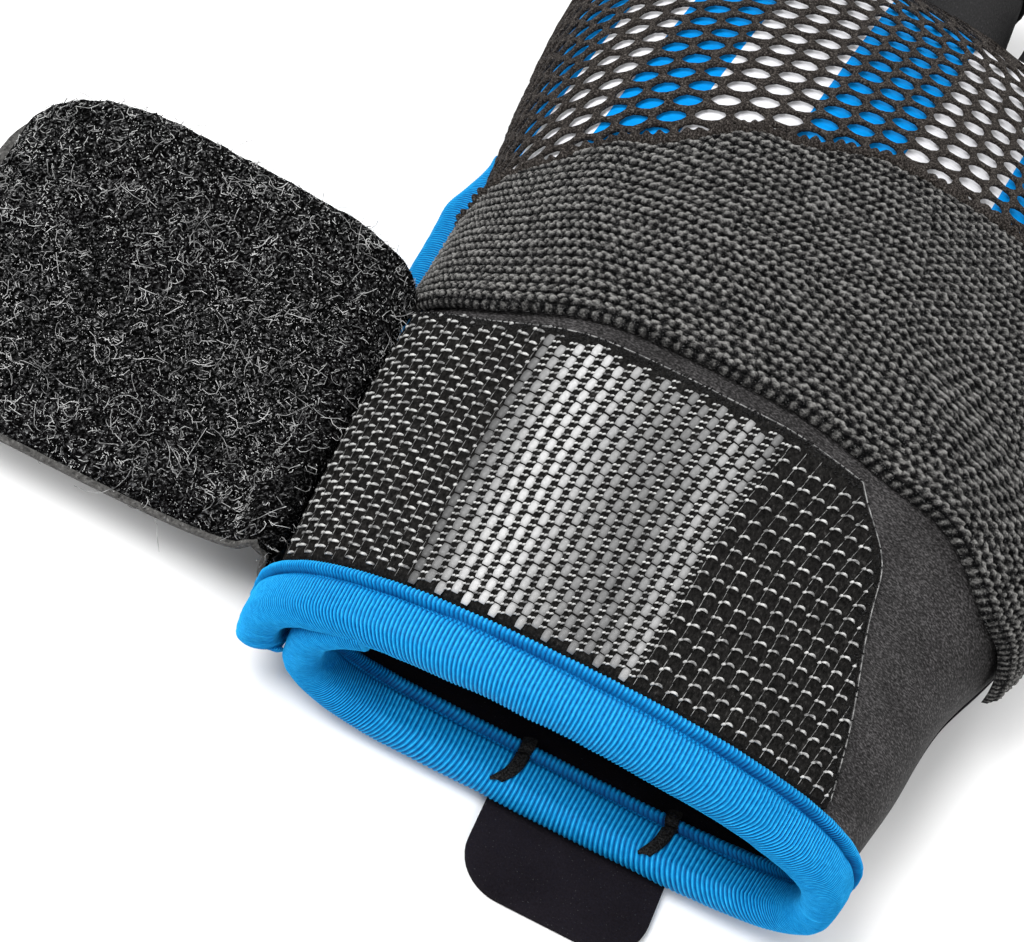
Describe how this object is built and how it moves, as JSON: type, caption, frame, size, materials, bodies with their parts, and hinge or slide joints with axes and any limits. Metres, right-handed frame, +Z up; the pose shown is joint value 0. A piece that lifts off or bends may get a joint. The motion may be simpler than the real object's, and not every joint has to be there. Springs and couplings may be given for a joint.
{
  "type": "weightlifting glove",
  "caption": "Left-hand weightlifting glove with half fingers, lying palm down, its wrist strap open: neoprene cuff, hook patch, elastic band, net over blue and white stripes.",
  "frame": {"origin": "on the flat underside of the palm, 90 mm from the wrist edge", "axes": "+Z up from the palm to the back of the hand, +Y from the wrist to the fingers, +X to the thumb"},
  "size_m": [0.1914, 0.2094, 0.0419],
  "materials": {
    "palm_suede": "matte",
    "striped_knit": "matte",
    "neoprene": "matte",
    "blue_binding": "satin",
    "elastic": "matte",
    "hook_tape": "satin",
    "net": "matte",
    "strap_cloth": "matte",
    "loop_pile": "matte",
    "stretch_cloth": "matte",
    "thread": "matte"
  },
  "bodies": {
    "root": {"palm_panel": "palm_suede", "back_panel": "striped_knit", "cuff_back": "neoprene", "binding_back": "blue_binding", "binding_palm": "blue_binding", "slit_binding": "blue_binding", "elastic_band": "elastic", "hook_patch": "hook_tape", "net_overlay": "net", "strap_backing": "strap_cloth", "strap_pile": "loop_pile", "pull_tab": "palm_suede", "bar_tack_left": "thread", "bar_tack_right": "thread", "little_sleeve": "stretch_cloth", "little_hem": "stretch_cloth", "ring_sleeve": "stretch_cloth", "ring_hem": "stretch_cloth", "middle_sleeve": "stretch_cloth", "middle_hem": "stretch_cloth", "index_sleeve": "stretch_cloth", "index_hem": "stretch_cloth", "thumb_sleeve": "stretch_cloth", "thumb_hem": "stretch_cloth"}
  },
  "joints": []
}
